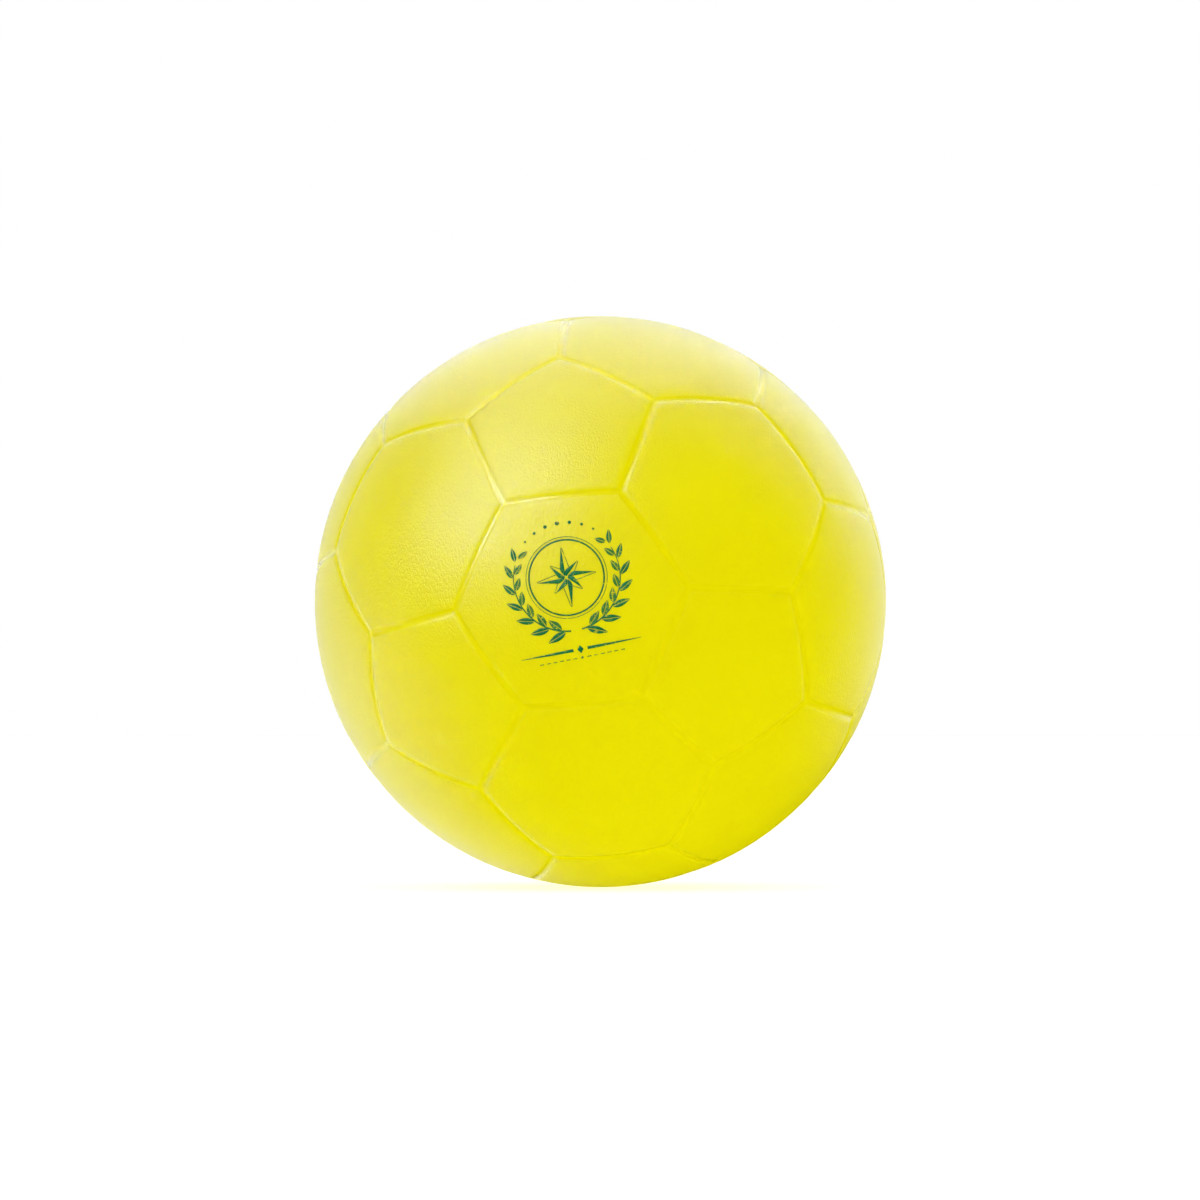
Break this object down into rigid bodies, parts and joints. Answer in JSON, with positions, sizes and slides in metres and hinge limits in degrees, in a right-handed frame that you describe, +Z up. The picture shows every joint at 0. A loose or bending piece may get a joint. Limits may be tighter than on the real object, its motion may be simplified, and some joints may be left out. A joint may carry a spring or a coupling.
{
  "type": "handball",
  "caption": "Soft moulded handball with grooved panel seams, a fine leather grain and a self-sealing needle valve.",
  "frame": {"origin": "centre of the ball", "axes": "-Y points at the printed front panel, +Y along the valve out of the ball, +Z up as in the picture"},
  "size_m": [0.18, 0.1799, 0.18],
  "materials": {
    "vinyl_skin": "satin",
    "vinyl_seat": "satin",
    "valve_rubber": "matte",
    "print_ink": "satin"
  },
  "bodies": {
    "root": {"ball_skin": "vinyl_skin", "valve_seat": "vinyl_seat", "valve_plug": "valve_rubber"}
  },
  "joints": []
}
